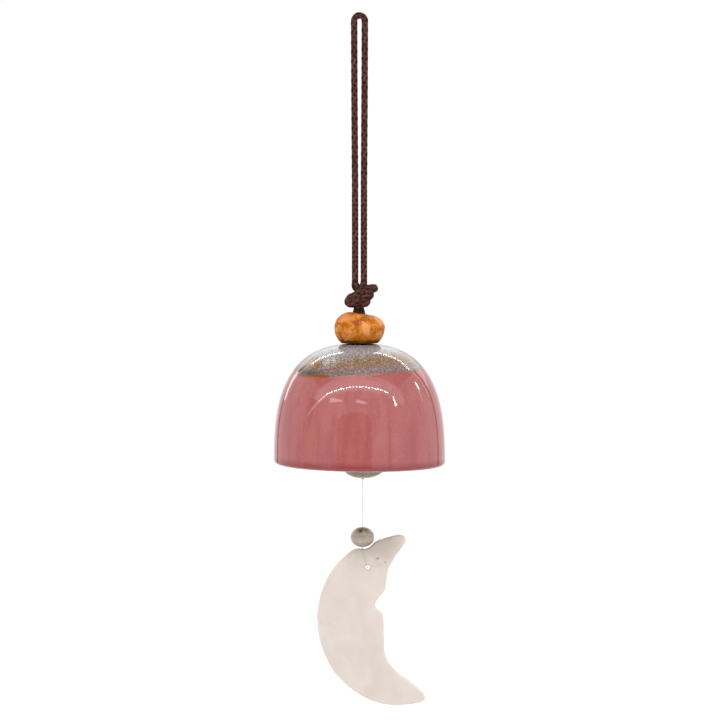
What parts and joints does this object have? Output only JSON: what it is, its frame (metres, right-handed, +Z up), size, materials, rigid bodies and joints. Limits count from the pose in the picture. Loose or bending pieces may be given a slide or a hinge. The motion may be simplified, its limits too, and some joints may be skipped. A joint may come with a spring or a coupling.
{
  "type": "hanging porcelain bell",
  "caption": "Hanging glazed ceramic bell on a braided cord loop, with a crown bead, a bead clapper and a crescent wind catcher on a clear line.",
  "frame": {"origin": "the hang point: inside of the top of the cord loop, where it lies on a hook", "axes": "+Z up along the cord, +X to the right seen from the front, so the crescent opens towards +X; the front faces -Y"},
  "size_m": [0.07, 0.07, 0.2828],
  "materials": {
    "cord": "matte braided cord",
    "amber_glaze": "mottled satin glaze",
    "bell_glaze": "glossy glaze, grey crackle crown over a rose body",
    "clear_line": "clear monofilament",
    "clapper_glaze": "taupe crackle glaze",
    "stone": "polished banded stone",
    "bisque": "satin, slightly translucent bisque"
  },
  "bodies": {
    "loop_top": {"hanging_loop": "cord"},
    "loop_legs": {"loop_leg_left": "cord", "loop_leg_right": "cord"},
    "bell_cord": {"top_knot": "cord", "cord_stem": "cord", "inner_knot": "cord"},
    "crown_bead": {"crown_bead": "amber_glaze"},
    "bell": {"bell_shell": "bell_glaze"},
    "line_tie": {"line_tie": "clear_line"},
    "clapper_line": {"clapper_line": "clear_line", "stop_knot": "clear_line"},
    "clapper": {"clapper_bead": "clapper_glaze"},
    "catcher_line": {"catcher_line": "clear_line"},
    "stone_bead": {"stone_bead": "stone"},
    "crescent": {"crescent_loop": "clear_line", "crescent": "bisque"}
  },
  "joints": [
    {"name": "loop_twist", "type": "hinge", "parent": "loop_top", "child": "loop_legs", "pos_m": [0, 0, -0.07], "axis": [0, 0, 1], "range_deg": [-180, 180]},
    {"name": "bell_swing", "type": "hinge", "parent": "loop_legs", "child": "bell_cord", "pos_m": [0, 0, -0.106], "axis": [0, 1, 0], "range_deg": [-30, 30], "deforming": ["loop_leg_left", "loop_leg_right"]},
    {"name": "crown_bead_turn", "type": "hinge", "parent": "bell_cord", "child": "crown_bead", "pos_m": [0, 0, -0.125], "axis": [0, 0, 1], "continuous": true},
    {"name": "bell_turn", "type": "hinge", "parent": "bell_cord", "child": "bell", "pos_m": [0, 0, -0.135], "axis": [0, 0, 1], "continuous": true},
    {"name": "clapper_turn", "type": "hinge", "parent": "bell_cord", "child": "line_tie", "pos_m": [0.0012, 0, -0.145], "axis": [0, 0, 1], "continuous": true},
    {"name": "clapper_swing", "type": "hinge", "parent": "line_tie", "child": "clapper_line", "pos_m": [0.0012, 0, -0.145], "axis": [0, 1, 0], "range_deg": [-36.5, 36.5]},
    {"name": "clapper_spin", "type": "hinge", "parent": "clapper_line", "child": "clapper", "pos_m": [0.0012, 0, -0.1797], "axis": [0, 0, 1], "continuous": true},
    {"name": "catcher_swing", "type": "hinge", "parent": "clapper_line", "child": "catcher_line", "pos_m": [0.0012, 0, -0.1866], "axis": [0, -1, 0], "range_deg": [-45, 45]},
    {"name": "crescent_swing", "type": "hinge", "parent": "catcher_line", "child": "stone_bead", "pos_m": [0.0012, 0, -0.2066], "axis": [0, 1, 0], "range_deg": [-30, 30]},
    {"name": "crescent_turn", "type": "hinge", "parent": "stone_bead", "child": "crescent", "pos_m": [0.0012, 0, -0.215], "axis": [0, 0, 1], "continuous": true}
  ]
}
